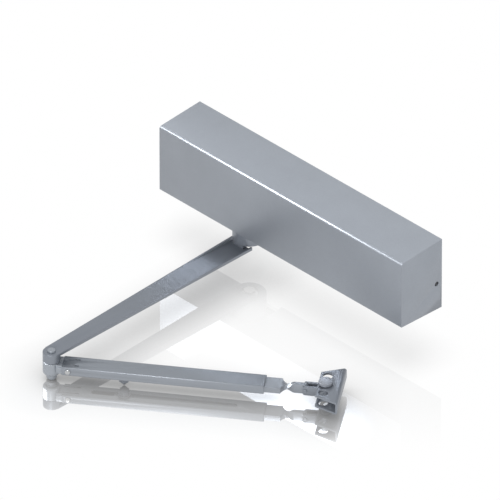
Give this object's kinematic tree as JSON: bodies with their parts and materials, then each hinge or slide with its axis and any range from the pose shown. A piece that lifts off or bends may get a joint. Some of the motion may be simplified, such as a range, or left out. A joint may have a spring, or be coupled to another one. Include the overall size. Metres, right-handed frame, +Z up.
{
  "type": "surface-mounted door closer",
  "caption": "Overhead door closer: a long boxed cover over a rack-and-pinion body, with a flat main arm, a telescoping forearm and a pivoting shoe.",
  "frame": {"origin": "the middle of the four door holes, on the face of the mounting plate that lies against the door", "axes": "+X along the cover towards the spring end, +Y into the door, +Z up; the pinion stands along Z at the left"},
  "size_m": [0.3262, 0.2906, 0.1274],
  "materials": {
    "cover_paint": "satin silver paint",
    "arm_paint": "satin silver-grey paint",
    "zinc_steel": "bright zinc plating",
    "cast_alloy": "as cast",
    "dark_steel": "oiled steel",
    "bronze": "sintered bronze",
    "seal_rubber": "matt black"
  },
  "bodies": {
    "closer": {"cover": "cover_paint", "cover_lock_screws": "dark_steel", "mounting_plate": "zinc_steel", "body_screws": "dark_steel", "closer_body": "cast_alloy", "check_end_plug": "zinc_steel", "spring_end_plug": "zinc_steel", "end_plug_seals": "seal_rubber", "adjuster_seal": "seal_rubber", "pinion_bearings": "zinc_steel", "pinion_ring_nuts": "zinc_steel", "pinion_seals": "seal_rubber", "closer_spring": "dark_steel"},
    "piston": {"piston": "dark_steel", "piston_check_valve": "bronze"},
    "spring_seat": {"spring_seat": "zinc_steel"},
    "spring_adjuster": {"spring_adjuster": "zinc_steel"},
    "sweep_valve": {"sweep_valve": "bronze"},
    "latch_valve": {"latch_valve": "bronze"},
    "backcheck_valve": {"backcheck_valve": "bronze"},
    "arm": {"pinion_shaft": "dark_steel", "arm_hub": "arm_paint", "main_arm": "arm_paint", "arm_washer": "zinc_steel", "arm_screw": "zinc_steel", "elbow_stud": "zinc_steel", "elbow_spacer": "zinc_steel", "elbow_washer": "zinc_steel", "elbow_nut": "zinc_steel"},
    "forearm": {"elbow_knuckle": "arm_paint", "elbow_bush": "bronze", "tongue_rivet": "zinc_steel", "forearm_tube": "arm_paint"},
    "rod": {"forearm_rod": "arm_paint", "clamp_washer": "zinc_steel"},
    "clamp_screw": {"clamp_screw": "zinc_steel"},
    "fork": {"swivel_fork": "arm_paint", "fork_rivet": "zinc_steel"},
    "shoe": {"shoe_bracket": "arm_paint", "shoe_pin": "arm_paint"}
  },
  "joints": [
    {"name": "pinion_turn", "type": "hinge", "parent": "closer", "child": "arm", "pos_m": [-0.0675, -0.025, -0.02], "axis": [0, 0, 1], "range_deg": [0, 165], "stiffness_Nm_per_rad": 5, "springref_deg": -57.3},
    {"name": "piston_slide", "type": "slide", "parent": "closer", "child": "piston", "axis": [1, 0, 0], "range_m": [0, 0.02522], "deforming": ["closer_spring"]},
    {"name": "adjuster_turn", "type": "hinge", "parent": "closer", "child": "spring_adjuster", "pos_m": [0.14, -0.025, 0], "axis": [1, 0, 0], "range_deg": [0, 2885]},
    {"name": "spring_seat_slide", "type": "slide", "parent": "closer", "child": "spring_seat", "axis": [-1, 0, 0], "range_m": [0, 0.012], "deforming": ["closer_spring"]},
    {"name": "sweep_valve_turn", "type": "hinge", "parent": "closer", "child": "sweep_valve", "pos_m": [-0.1231, -0.025, 0.022], "axis": [0, 0, 1], "range_deg": [-360, 360]},
    {"name": "latch_valve_turn", "type": "hinge", "parent": "closer", "child": "latch_valve", "pos_m": [-0.1091, -0.025, 0.022], "axis": [0, 0, 1], "range_deg": [-360, 360]},
    {"name": "backcheck_valve_turn", "type": "hinge", "parent": "closer", "child": "backcheck_valve", "pos_m": [-0.034, -0.025, 0.022], "axis": [0, 0, 1], "range_deg": [-360, 360]},
    {"name": "elbow_turn", "type": "hinge", "parent": "arm", "child": "forearm", "pos_m": [-0.0675, -0.2824, -0.0694], "axis": [0, 0, 1], "continuous": true},
    {"name": "rod_slide", "type": "slide", "parent": "forearm", "child": "rod", "axis": [0.8116, 0.5842, 0], "range_m": [-0.0135, 0.095]},
    {"name": "clamp_screw_turn", "type": "hinge", "parent": "rod", "child": "clamp_screw", "pos_m": [-0.01256, -0.24285, -0.07415], "axis": [0, 0, 1], "range_deg": [-720, 720]},
    {"name": "fork_tilt", "type": "hinge", "parent": "rod", "child": "fork", "pos_m": [0.12476, -0.14399, -0.07415], "axis": [-0.5842, 0.8116, 0], "range_deg": [-10, 10]},
    {"name": "shoe_swivel", "type": "hinge", "parent": "fork", "child": "shoe", "pos_m": [0.13961, -0.1333, -0.07415], "axis": [0, 0, 1], "range_deg": [-58, 58]}
  ],
  "couplings": [
    {"joint": "piston_slide", "follows": "pinion_turn", "m_per_rad": 0.00875},
    {"joint": "adjuster_turn", "follows": "spring_seat_slide", "rad_per_m": 4188.8}
  ]
}
